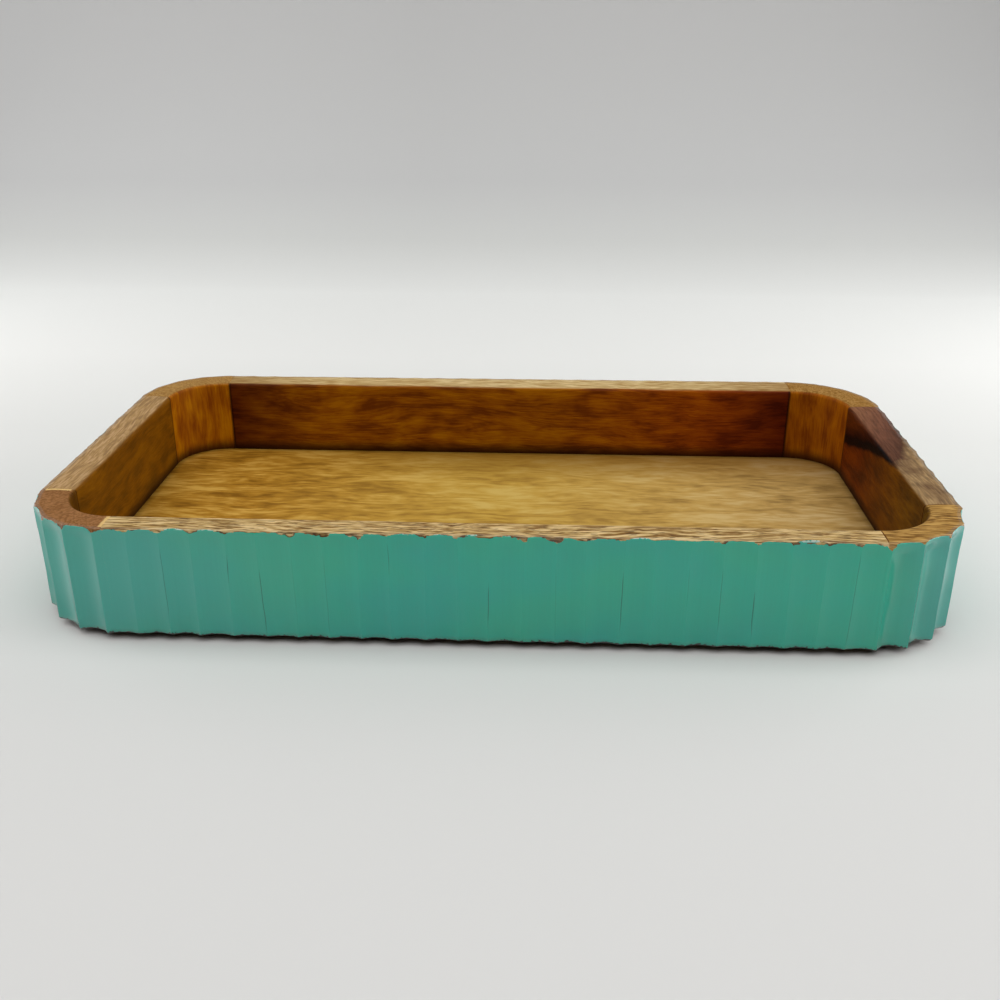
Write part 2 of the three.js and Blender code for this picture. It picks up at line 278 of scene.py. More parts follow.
def wall_grid(plan, seed):
    """Vertices of one wall piece as columns x rows, with the values for its finishes."""
    rng = np.random.default_rng(seed)
    low = plan["start"] - seam_half
    high = plan["start"] + plan["run"] + seam_half

    # Each column is a flute's number and the share of the way across that flute.
    column = np.concatenate([one + across_flute for one in range(count + 2)])
    middle = np.interp(column, ridge_numbers, hand["place"])
    column = column[(middle > low + 2 * arris) & (middle < high - 2 * arris)]
    ends = np.interp([low, low + arris, high - arris, high], hand["place"], ridge_numbers)
    column = np.concatenate([ends[:2], column, ends[2:]])[:, None]
    flute = np.floor(column).astype(int)
    share = column - flute
    scoop = 1 - (2 * share - 1) ** 2
    middle = np.interp(column, ridge_numbers, hand["place"])
    from_seam = np.minimum(middle - low, high - middle)
    at_seam = (from_seam < arris / 2) * 1.0
    settled = np.clip(from_seam / settle, 0, 1)
    ridge = {key: np.interp(column, ridge_numbers, values) for key, values in hand.items()}

    # Painted face, then the sander over it. The factors inside the ripples keep neighbours from being alike.
    shoulder = rim - crown
    bottom = foot + foot_ease * (1 + ripple(rng, middle, *foot_ripple) * settled)
    face_z = bottom + rows_up * (shoulder - edge_round - bottom)
    level = (face_z - foot) / (rim - foot)
    below = np.clip((shoulder - face_z) / run_out, 0, 1)
    fade = rim_depth + (1 - rim_depth) * below**2 * (3 - 2 * below)
    uneven = (foot_share - taper * level) * fade
    uneven = uneven + ripple(rng, face_z + 7 * flute, *depth_ripple) * settled
    creased = (share == 0) * ridge["crease"] * np.clip((level - ridge["crease_foot"]) / crease_start, 0, 1)
    creased = creased * np.clip((ridge["crease_top"] - level) / crease_end, 0, 1)
    scooped = ridge["blunt"] + hand["depth"][flute] * scoop * uneven + creased * crease_depth
    sanding = np.clip((face_z - shoulder + ridge["sand_height"]) / ridge["sand_height"], 0, 1) ** sander_curve
    sanding = sanding * ridge["sanded"] * (1 + ripple(rng, middle, *sanding_ripple) * settled)
    more = np.interp(middle, [low, high], thicker[plan["name"]]) * (foot_more + (1 - foot_more) * level)
    face = np.maximum(scooped, sanding) - more
    worn = np.where(sanding > 0, np.maximum(sanding - scooped, -lap), -lap)

    # Edge, rim and rounded inside edge
    burr = hand["burr"][flute] * scoop**2
    edge = face[:, -1:] + edge_round * (1 - np.cos(rows_edge))
    edge_z = shoulder - edge_round + (edge_round + burr) * np.sin(rows_edge)
    reach = wall - inside_round - edge[:, -1:]
    top = edge[:, -1:] + reach * rows_rim
    rough = ripple(rng, middle + 11 * rows_rim, *rim_ripple)
    rough = rough + ripple(rng, middle - 5 * rows_rim, *rim_fibre_ripple)
    top_z = shoulder + (crown + rough) * np.sin(rows_rim * math.pi)
    top_z = top_z + burr * np.clip(1 - lip_fall * rows_rim, 0, 1)
    bow = ripple(rng, middle, *inside_ripple)
    inner = bow + wall - inside_round + inside_round * np.sin(rows_round)
    inner_z = shoulder - inside_round + inside_round * np.cos(rows_round) + 0 * share

    # Inside face, ledge, rebate and underside
    down = wall + bow * (1 - rows_down)
    down_z = shoulder - inside_round - (shoulder - inside_round - ledge - foot_round) * rows_down + 0 * share
    under = wall - foot_round + foot_round * np.cos(rows_under) + 0 * share
    under_z = ledge + foot_round - foot_round * np.sin(rows_under) + 0 * share
    rebate = np.repeat([[wall - rebate_width, wall - rebate_width]], len(share), 0)
    rebate_z = np.repeat([[ledge, foot]], len(share), 0)
    last = face[:, :1] + foot_ease
    last_z = np.full_like(last, foot)

    eased = at_seam * arris / 2
    deep = np.hstack([face, edge, top, inner - eased, down - eased, under - eased, rebate, last])
    high_z = np.hstack([face_z, edge_z - eased, top_z - eased, inner_z, down_z, under_z, rebate_z, last_z])
    lean = (ridge["lean"] + ripple(rng, high_z + 13 * column, *lean_ripple)) * settled
    place = middle + lean * (np.clip((high_z - foot) / (rim - foot), 0, 1) - 0.5)
    x, y, in_x, in_y = plan["line"](plan["side"], place - plan["start"])
    points = np.stack([x + in_x * deep, y + in_y * deep, high_z], -1) * MM

    # Values for the finishes
    bare = np.ones_like(deep)
    past_edge = len(rows_up) + len(rows_edge)
    bare[:, : len(rows_up)] = worn
    over_edge = worn[:, -1:] - burr
    bare[:, len(rows_up) : past_edge] = over_edge + lap * np.sin(rows_edge)
    bare[:, past_edge : past_edge + len(rows_rim)] = over_edge + lap + reach * rows_rim
    bare[:, -1] = -lap
    crease = np.zeros_like(deep)
    crease[:, : len(rows_up)] = creased
    inside = np.clip((deep - wall + inside_round) / inside_round, 0, 1)
    return points, {"bare": bare, "crease": crease, "inside": inside, "from_seam": from_seam + 0 * deep}


print("columns in one flute:", len(across_flute), "and rows up the face:", len(rows_up))

# %% [markdown]
# ## From grid to mesh
#
# The grid becomes quads, closed round the section, with one many-sided face at each end where the piece
# meets its neighbour. Faces up to just over the edge of the rim take the first material slot, which is the
# paint, and the others the second, which is the wood. Smooth shading with sharp edges by angle keeps
# scoops soft and ends crisp.

# %% Build the eight wall pieces
paint_rows = len(rows_up) + len(rows_edge) + 2
first_wall_seed = 40


def smooth_mesh(name, points, faces):
    """A mesh of smooth faces from points in metres."""
    mesh = bpy.data.meshes.new(name)
    mesh.from_pydata(points, [], faces)
    mesh.polygons.foreach_set("use_smooth", np.ones(len(faces), bool))
    return mesh


def grid_piece(name, points, values):
    """A closed mesh from columns x rows of points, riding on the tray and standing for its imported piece."""
    columns, rows = points.shape[:2]
    index = np.arange(columns * rows).reshape(columns, rows)
    after = np.roll(index, -1, 1)
    quads = np.stack([index[:-1], index[1:], after[1:], after[:-1]], -1).reshape(-1, 4)
    faces = quads.tolist() + [index[0].tolist(), index[-1][::-1].tolist()]
    mesh = smooth_mesh(name, points.reshape(-1, 3).tolist(), faces)
    row = np.arange(rows)
    slots = np.tile(np.where((row < paint_rows) | (row == rows - 1), 0, 1), columns - 1)
    mesh.polygons.foreach_set("material_index", np.append(slots, [1, 1]).astype(np.int32))
    mesh.set_sharp_from_angle(angle=math.radians(75))
    for key, value in values.items():
        layer = mesh.attributes.new(key, "FLOAT", "POINT")
        layer.data.foreach_set("value", value.astype(np.float32).ravel())
    piece = bpy.data.objects.new(f"{name}_gouged", mesh)
    bpy.context.scene.collection.objects.link(piece)
    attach(piece, "root")
    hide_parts(name)
    return piece


wall_pieces = {}
for number, plan in enumerate(wall_plan):
    piece = grid_piece(plan["name"], *wall_grid(plan, first_wall_seed + number))
    wall_pieces[plan["name"]] = piece
    print(plan["name"], len(piece.data.vertices), "vertices")

# %% [markdown]
# ## Rubber bumpers
#
# Four moulded rubber domes under the panel lift the frame off the table. A turned profile is enough: a
# straight lip where the dome is stuck on, a round shoulder and a flat foot. The faceted piece in the frame
# has few sides, so a finer one takes its place.

# %% Build the bumpers
bumper_lip = 1.2
bumper_foot_radius = 4.0
turns = 48


def bumper(name):
    low, high = (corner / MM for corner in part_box(name))
    middle = (low + high) / 2
    radius = (high.x - low.x) / 2
    height = high.z - low.z
    bow = np.linspace(0, math.pi / 2, 9)
    outer = bumper_foot_radius + (radius - bumper_foot_radius) * np.sin(bow)
    rise = (height - bumper_lip) * (1 - np.cos(bow))
    profile = [(0.3 * bumper_foot_radius, 0.15), (0.8 * bumper_foot_radius, 0.0)]
    profile += list(zip(outer, rise)) + [(radius, height - 0.1), (radius - 0.1, height)]
    angle = np.linspace(0, 2 * math.pi, turns, endpoint=False)[:, None]
    r, z = np.array(profile).T
    x = middle.x + r * np.cos(angle)
    y = middle.y + r * np.sin(angle)
    points = np.stack([x, y, low.z + z + 0 * angle], -1)
    columns, rows = points.shape[:2]
    index = np.arange(columns * rows).reshape(columns, rows)
    after = np.roll(index, -1, 0)
    quads = np.stack([index[:, :-1], after[:, :-1], after[:, 1:], index[:, 1:]], -1).reshape(-1, 4)
    faces = quads.tolist() + [index[::-1, 0].tolist(), index[:, -1].tolist()]
    mesh = smooth_mesh(name, (points.reshape(-1, 3) * MM).tolist(), faces)
    mesh.set_sharp_from_angle(angle=math.radians(40))
    piece = bpy.data.objects.new(f"{name}_dome", mesh)
    bpy.context.scene.collection.objects.link(piece)
    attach(piece, "root")
    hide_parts(name)
    return piece


bumpers = [bumper(name) for name in sorted(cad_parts) if name.startswith("bumper")]
print(len(bumpers), "bumpers of", turns, "sides")

# %% [markdown]
# ## Helpers for the finishes
#
# Colours are written as they look on a screen and turned to the linear values that light adds up in. One
# small function adds a node, sets it and links it. Another lays marks over a colour, such as dirt with
# painted shade in a corner, where a value runs from the place where the mark starts to the place where it is
# strongest. So each finish below reads as a list of its layers.

# %% Colour and node helpers


def linear(hex_colour):
    """An sRGB hex colour as linear red, green, blue and alpha."""
    parts = [int(hex_colour[i : i + 2], 16) / 255 for i in (1, 3, 5)]
    return [c / 12.92 if c <= 0.04045 else ((c + 0.055) / 1.055) ** 2.4 for c in parts] + [1.0]


def fill(tree, node, inputs):
    """Links each input of a node to a socket, or sets it to a value."""
    for key, value in inputs.items():
        if isinstance(value, bpy.types.NodeSocket):
            tree.links.new(value, node.inputs[key])
        else:
            node.inputs[key].default_value = value


def add(tree, kind, inputs=None, stops=None, **settings):
    """Adds a shader node of a kind, with its settings, colour stops and inputs."""
    node = tree.nodes.new("ShaderNode" + kind)
    for key, value in settings.items():
        setattr(node, key, value)
    for position, (place, hex_colour) in enumerate(stops or []):
        ramp = node.color_ramp.elements
        stop = ramp[position] if position < len(ramp) else ramp.new(place)
        stop.position = place
        stop.color = linear(hex_colour)
    fill(tree, node, inputs or {})
    return node


def finish_named(name):
    """A new material with its node tree, its shader and the coordinates of the object."""
    material = bpy.data.materials.new(name)
    material.use_nodes = True
    tree = material.node_tree
    shader = tree.nodes["Principled BSDF"]
    place = add(tree, "TexCoord").outputs["Object"]
    return material, tree, shader, place


def covered(tree, colour, marks, blend="MIX", ease="LINEAR"):
    """Lays marks over a colour. A mark has a value, where that starts and ends, a share and a tone."""
    for value, start, end, share, tone in marks:
        span = {"Value": value, "From Min": start, "From Max": end, "To Max": share}
        shown = add(tree, "MapRange", span, interpolation_type=ease).outputs[0]
        over = {0: shown, 6: colour, 7: linear(tone)}
        colour = add(tree, "Mix", over, data_type="RGBA", blend_type=blend).outputs[2]
    return colour


def cells(*sizes):
    """How many times a pattern of these sizes in millimetres repeats in a metre, along each axis."""
    return tuple(1 / (size * MM) for size in sizes)


print("teal as linear light:", [round(c, 3) for c in linear("#3fa48c")])

# %% [markdown]
# ## The figure of mango wood
#
# Mango is a fairly coarse wood. Its figure is made of soft streaks a few millimetres wide that wander like
# flames, over fine straight fibres, with short dark pores along them. All of it is noise in the solid of
# the wood, drawn out along the grain, so that it runs on over the edges as in a real board. The sanded rim
# and the oiled inside mix the same layers with other weights.

# %% Layers of the figure


def wood_layers(tree, place, grain, flow, wave, sizes):
    """Noise layers of the wood. Sizes are millimetres along and across the grain, and fine detail."""

    def cells_along(along, across):
        lengths = {axis: across for axis in "xyz"}
        lengths[grain] = along
        return cells(*lengths.values())

    # The streaks wander to and fro across the grain by a few millimetres.
    slow = add(tree, "VectorMath", {0: place, 1: cells_along(wave, wave / 3)}, operation="MULTIPLY")
    drift = add(tree, "TexNoise", {"Vector": slow.outputs[0], "Scale": 1.0, "Detail": 1.5})
    centred = add(tree, "VectorMath", {0: drift.outputs["Color"], 1: (0.5, 0.5, 0.5)}, operation="SUBTRACT")
    sway = add(tree, "VectorMath", {0: centred.outputs[0], "Scale": 2 * flow * MM}, operation="SCALE")
    swayed = add(tree, "VectorMath", {0: place, 1: sway.outputs[0]}, operation="ADD").outputs[0]

    layers = {}
    for layer, (along, across, detail) in sizes.items():
        stretched = add(tree, "VectorMath", {0: swayed, 1: cells_along(along, across)}, operation="MULTIPLY")
        noise = add(tree, "TexNoise", {"Vector": stretched.outputs[0], "Scale": 1.0, "Detail": detail})
        layers[layer] = noise.outputs["Fac"]
    return layers


def toned(tree, layers, weights, stops):
    """A colour from the weighted sum of some layers, through colour stops."""
    tone = 0.0
    for layer, weight in weights.items():
        part = add(tree, "Math", {0: layers[layer], 1: weight, 2: tone}, operation="MULTIPLY_ADD")
        tone = part.outputs[0]
    return add(tree, "ValToRGB", {0: tone}, stops=stops).outputs[0]


# Real fibres are under 0.1 mm wide, and pores about 0.2 mm. Both are drawn several times as wide, because
# they wouldn't show in the picture.
wall_figure = {
    # millimetres along and across the grain, and fine detail
    "figure": (30, 3.5, 3.0),
    "fibre": (9, 0.7, 2.0),
    "pore": (4.5, 0.6, 1.0),
    "curl": (13, 6, 3.0),
}
wall_flow, wall_wave = 6.0, 60  # how far the streaks wander, and over what length
print("layers of the figure:", list(wall_figure))

# %% [markdown]
# ## Bare wood of the frame
#
# Inside, the wood was wiped with oil, which turns it dark orange-brown and mottled, and filled its pores.
# Each piece was cut from another board, so each has tones of its own, and its grain runs its own way: along
# the rails, and upright in three of the corner blocks. The back and right rails get redder towards one end,
# hands have darkened the ends of the back rim, and a dark streak of heartwood runs through the right rail.
# At the front corners the joints show on the rim as thin lines of glue or filler, and at the back and left
# they show inside as dark lines. Dirt and wax sit in the corner over the floor, with painted shade over them.
# The oil leaves a low sheen.

# %% Finish for the rim and the inside of a piece
wood_pieces = {
    # grain, then the dark, middle and light tones of the rim and of the inside
    "front_rail": ("x", ("#7c592e", "#b6975e", "#dabd89"), ("#4d2600", "#6e3c00", "#855008")),
    "back_rail": ("x", ("#a88650", "#c1a46f", "#d8bf8c"), ("#6f3500", "#925000", "#ad6b00")),
    "left_rail": ("y", ("#90704a", "#a38152", "#b8956a"), ("#673f00", "#7d4c00", "#8d5900")),
    "right_rail": ("y", ("#836a4a", "#957750", "#a6895f"), ("#4e2f00", "#663e00", "#7a4f00")),
    "corner_front_left": ("z", ("#7a4f28", "#8a5e34", "#9a6b40"), ("#4a2a00", "#613a00", "#744c00")),
    "corner_front_right": ("x", ("#6c4818", "#9f773a", "#bb9350"), ("#3f2400", "#5a3a00", "#6e4c00")),
    "corner_back_left": ("z", ("#906832", "#a0783f", "#b0884c"), ("#894400", "#a75f00", "#c27b00")),
    "corner_back_right": ("z", ("#80581e", "#966d32", "#a87e42"), ("#7d3c00", "#9b5300", "#b16700")),
}
joint_lines = {
    # colour of the line on the rim, and its width in millimetres
    "corner_front_left": ("#d8b474", 1.8),
    "corner_front_right": ("#6a4218", 0.4),
}
open_pores = {"front_rail": 0.6, "corner_front_right": 0.4}  # how dark the open pores of a rim are
few_pores = 0.06  # the same for the other pieces
dark_seams = ["back_rail", "left_rail", "corner_back_left", "corner_back_right"]
redder = {
    # axis and range in millimetres over which the inside gets redder, its tone there, and how far a darker
    # red reaches from the seams
    "back_rail": ("X", 20, 95, "#ffccb0", 40.0),
    "right_rail": ("Y", -35, 25, "#f5ab88", 1.0),
}


def sanded_wood(tree, place, name):
    """The figure of a piece, and the colour of its dry, sanded rim: fibrous, with dark open pores."""
    grain, tones, _ = wood_pieces[name]
    layers = wood_layers(tree, place, grain, wall_flow, wall_wave, wall_figure)
    weights = {"figure": 0.12, "fibre": 0.75, "curl": 0.13}
    colour = toned(tree, layers, weights, list(zip((0.4, 0.5, 0.6), tones)))
    pores = (layers["pore"], 0.57, 0.63, open_pores.get(name, few_pores), "#3a2110")
    return layers, covered(tree, colour, [pores])


def heartwood(tree, place, layers, colour, within):
    """A dark streak of heartwood that dives from the rim of the right rail into its back end."""
    slant = 2.8  # how far the streak moves back for each millimetre outwards
    start, end = -28, 50  # where along the inside it starts, and where it has got to its full depth
    full_depth = 16.5
    dive = 1.4  # over 1 it dives slowly at first
    strays = 3.0  # how far its edge strays
    clear, hidden = 1.1, 2.4  # over this height its soft edge covers the other wood
    axes = add(tree, "SeparateXYZ", {0: place})
    outwards = {0: axes.outputs["X"], 1: -slant, 2: slant * (half_length - wall) * MM}
    outwards = add(tree, "Math", outwards, operation="MULTIPLY_ADD").outputs[0]
    back = add(tree, "Math", {0: axes.outputs["Y"], 1: outwards}, operation="ADD").outputs[0]
    share = add(tree, "MapRange", {"Value": back, "From Min": start * MM, "From Max": end * MM})
    bent = add(tree, "Math", {0: share.outputs[0], 1: dive}, operation="POWER").outputs[0]
    depth = add(tree, "Math", {0: bent, 1: full_depth * MM, 2: -rim * MM}, operation="MULTIPLY_ADD")
    above = add(tree, "Math", {0: depth.outputs[0], 1: axes.outputs["Z"]}, operation="ADD").outputs[0]
    stray = add(tree, "TexNoise", {"Vector": place, "Scale": 1 / (9 * MM), "Detail": 3.0})
    above = {0: stray.outputs["Fac"], 1: strays * MM, 2: above}
    above = add(tree, "Math", above, operation="MULTIPLY_ADD").outputs[0]
    shown = add(tree, "MapRange", {"Value": above, "From Min": clear * MM, "From Max": hidden * MM})

    # Tones from the edge of the streak upwards, first those of the rim and then those of the inside
    tones = []
    for last, stops in (
        (18, [(0.0, "#4a2e20"), (0.3, "#66402e"), (0.8, "#7c5238")]),
        (11, [(0.0, "#120300"), (0.35, "#080000"), (0.65, "#3a1200"), (1.0, "#562400")]),
    ):
        upwards = add(tree, "MapRange", {"Value": above, "From Min": 1.5 * MM, "From Max": last * MM})
        tones.append(add(tree, "ValToRGB", {0: upwards.outputs[0]}, stops=stops).outputs[0])
    heart = add(tree, "Mix", {0: within, 6: tones[0], 7: tones[1]}, data_type="RGBA")
    fibre = {"Value": layers["fibre"], "From Min": 0.35, "From Max": 0.65, "To Min": 0.75, "To Max": 1.25}
    fibre = add(tree, "MapRange", fibre).outputs[0]
    heart = add(tree, "VectorMath", {0: heart.outputs[2], "Scale": fibre}, operation="SCALE")
    parts = {0: shown.outputs[0], 6: colour, 7: heart.outputs[0]}
    return add(tree, "Mix", parts, data_type="RGBA").outputs[2]


def oiled_mango(name):
    material, tree, shader, place = finish_named(f"mango_{name}_sanded_and_oiled")
    axes = add(tree, "SeparateXYZ", {0: place})
    marked = {key: add(tree, "Attribute", attribute_name=key) for key in ("from_seam", "inside")}
    from_seam, inside = (node.outputs["Fac"] for node in marked.values())
    within = add(tree, "MapRange", {"Value": inside, "From Min": 0.4, "From Max": 0.8}).outputs[0]

    # The rim and the inside, each with its own tones
    layers, rim_colour = sanded_wood(tree, place, name)
    if name == "back_rail":
        rim_colour = covered(tree, rim_colour, [(from_seam, 50.0, 0.0, 1.0, "#d5c8b8")], blend="MULTIPLY")
    weights = {"curl": 0.45, "figure": 0.3, "fibre": 0.25}
    inside_tones = wood_pieces[name][2]
    inside_colour = toned(tree, layers, weights, list(zip((0.4, 0.5, 0.62), inside_tones)))
    colour = add(tree, "Mix", {0: within, 6: rim_colour, 7: inside_colour}, data_type="RGBA").outputs[2]
    if name in redder:
        axis, start, end, far_tone, reach = redder[name]
        reds = [
            (axes.outputs[axis], start * MM, end * MM, within, far_tone),
            (from_seam, reach, 0.0, within, "#9c767a"),
        ]
        colour = covered(tree, colour, reds, blend="MULTIPLY")
    if name == "right_rail":
        colour = heartwood(tree, place, layers, colour, within)

    # Dark joints inside, glue or filler at the joints on the rim, and dirt with painted shade in the corner
    # over the floor
    if name in dark_seams:
        share = add(tree, "Math", {0: within, 1: 0.7}, operation="MULTIPLY").outputs[0]
        colour = covered(tree, colour, [(from_seam, 0.9, 0.2, share, "#1e0a00")])
    if name in joint_lines:
        line_colour, width = joint_lines[name]
        frayed = add(tree, "Math", {0: layers["pore"], 1: width, 2: from_seam}, operation="MULTIPLY_ADD")
        frayed = frayed.outputs[0]
        on_rim = add(tree, "MapRange", {"Value": inside, "From Min": 0.4, "From Max": 0.1}).outputs[0]
        colour = covered(tree, colour, [(frayed, 1.4 * width, width, on_rim, line_colour)])
    dirt_and_shade = (axes.outputs["Z"], (floor_top + 6) * MM, (floor_top + 0.5) * MM, 0.85, "#200900")
    colour = covered(tree, colour, [dirt_and_shade], ease="SMOOTHSTEP")

    rough = add(tree, "MapRange", {"Value": within, "To Min": 0.75, "To Max": 0.55})
    relief = add(tree, "Math", {0: layers["pore"], 1: -0.8, 2: layers["fibre"]}, operation="MULTIPLY_ADD")
    bump = add(tree, "Bump", {"Strength": 0.4, "Distance": 0.3 * MM, "Height": relief.outputs[0]})
    fill(tree, shader, {"Base Color": colour, "Roughness": rough.outputs[0], "Normal": bump.outputs[0]})
    fill(tree, shader, {"IOR": 1.5, "Specular IOR Level": 0.1})
    return material


woods = {name: oiled_mango(name) for name in wood_pieces}
print(len(woods), "wood finishes")

# %% [markdown]
# ## Teal paint
#
# The outside has one coat of satin water-based paint, brushed on up and down the flutes. It is not quite
# even: slow drifts from green to blue, faint brush lines, and creases along some ridges, darkened with
# painted shade. Painted shade makes it darker and bluer towards the foot, and a painted sheen greys the left
# end and the right corner. The sander has gone through it on the ridges at the rim, where the wood of the
# piece shows behind a ragged border with dark flecks along it. The torn lips carry a pale painted highlight,
# and a ragged painted shade runs along the bottom edge. The shader's base reflects little. Its coat layer
# does the shining, and mirrors the pale table softly where the paint is seen at a low angle.

# %% Finish for the outside of a piece


def brushed_paint(name):
    material, tree, shader, place = finish_named(f"teal_paint_{name}_brushed_satin")
    axes = add(tree, "SeparateXYZ", {0: place})
    height = axes.outputs["Z"]
    cloud = add(tree, "VectorMath", {0: place, 1: cells(45, 45, 30)}, operation="MULTIPLY")
    cloud = add(tree, "TexNoise", {"Vector": cloud.outputs[0], "Scale": 1.0, "Detail": 2.0})
    drifts = [(0.35, "#25af9c"), (0.5, "#25b398"), (0.65, "#2ab593")]
    colour = add(tree, "ValToRGB", {0: cloud.outputs["Fac"]}, stops=drifts).outputs[0]

    # Brush lines are a bristle wide, here drawn at 0.6 mm so that they show.
    lines = add(tree, "VectorMath", {0: place, 1: cells(0.6, 0.6, 30)}, operation="MULTIPLY")
    lines = add(tree, "TexNoise", {"Vector": lines.outputs[0], "Scale": 1.0, "Detail": 1.0}).outputs["Fac"]
    crease = add(tree, "Attribute", attribute_name="crease").outputs["Fac"]
    ragged = add(tree, "TexNoise", {"Vector": place, "Scale": 1 / (1.1 * MM), "Detail": 2.0}).outputs["Fac"]
    # where the pale painted highlight shows on the torn lips
    patches = {"Value": ragged, "From Min": 0.42, "From Max": 0.52, "To Max": 0.9}
    patches = add(tree, "MapRange", patches).outputs[0]
    lip_foot = (rim - crown) * MM
    marks = [
        # a painted sheen, greyer towards the left end and at the right corner
        (axes.outputs["X"], -40 * MM, -120 * MM, 0.5, "#58b0a4"),
        (axes.outputs["X"], 122 * MM, 142 * MM, 0.9, "#4eb0a4"),
        (lines, 0.35, 0.65, 0.05, "#2a8473"),
        # painted shade, darker and bluer towards the foot
        (height, (foot + 22) * MM, foot * MM, 0.3, "#1f8d80"),
        # painted shade in the creases along some ridges
        (crease, 0.0, 1.0, 1.0, "#1c5548"),
        # a pale painted highlight in patches on the lips that the gouge has torn up at the rim
        (height, lip_foot, lip_foot + 0.15 * MM, patches, "#d2e4da"),
    ]
    colour = covered(tree, colour, marks)

    # Bare wood where the sander went through, with a ragged edge and dark flecks along it next to the paint
    layers, wood_colour = sanded_wood(tree, place, name)
    if name == "right_rail":
        wood_colour = heartwood(tree, place, layers, wood_colour, 0.0)
    bare = add(tree, "Attribute", attribute_name="bare").outputs["Fac"]
    edge = add(tree, "Math", {0: ragged, 1: 0.6, 2: bare}, operation="MULTIPLY_ADD").outputs[0]
    through = add(tree, "MapRange", {"Value": edge, "From Min": 0.3, "From Max": 0.34}).outputs[0]
    dark_flecks = add(tree, "TexNoise", {"Vector": place, "Scale": 1 / (4 * MM), "Detail": 1.0})
    dark_flecks = {"Value": dark_flecks.outputs["Fac"], "From Min": 0.5, "From Max": 0.56, "To Max": 0.9}
    dark_flecks = add(tree, "MapRange", dark_flecks).outputs[0]
    wood_colour = covered(tree, wood_colour, [(edge, 0.66, 0.36, dark_flecks, "#3c1c0c")])
    colour = add(tree, "Mix", {0: through, 6: colour, 7: wood_colour}, data_type="RGBA").outputs[2]

    # Painted shade along the foot, with a ragged upper edge
    foot_shade_edge = add(tree, "Math", {0: ragged, 1: -2.6 * MM, 2: height}, operation="MULTIPLY_ADD").outputs[0]
    colour = covered(tree, colour, [(foot_shade_edge, (foot - 0.45) * MM, (foot - 0.6) * MM, 1.0, "#1c0f06")])

    rough = add(tree, "MapRange", {"Value": through, "To Min": 0.3, "To Max": 0.75})
    bump = add(tree, "Bump", {"Strength": 0.05, "Distance": 0.2 * MM, "Height": lines})
    fill(tree, shader, {"Base Color": colour, "Roughness": rough.outputs[0], "Normal": bump.outputs[0]})
    fill(tree, shader, {"IOR": 1.5, "Specular IOR Level": 0.2})
    fill(tree, shader, {"Coat Weight": 1.0, "Coat Roughness": 0.1, "Coat IOR": 1.5})
    return material


for name, piece in wall_pieces.items():
    piece.data.materials.append(brushed_paint(name))
    piece.data.materials.append(woods[name])
print("painted", len(wall_pieces), "wall pieces")

# %% [markdown]
# ## The base panel
#
# The floor of the tray is one flat board, so its imported piece stays and only gets its finish: oiled mango
# with short golden flames along the tray. The board fades from a deep gold at the left end to a drier beige
# at the right, and it is darker along the walls, most of all at the back, where oil has gathered and painted
# shade lies over it.

# %% Finish the base panel
panel_figure = {"flame": (24, 7, 3.0), "streak": (8, 1.8, 3.0), "mottle": (40, 16, 2.0)}
inside_x = half_length - wall
inside_y = half_width - wall
inside_bend = bend_radius - wall
panel_flow, panel_wave = 5.0, 35


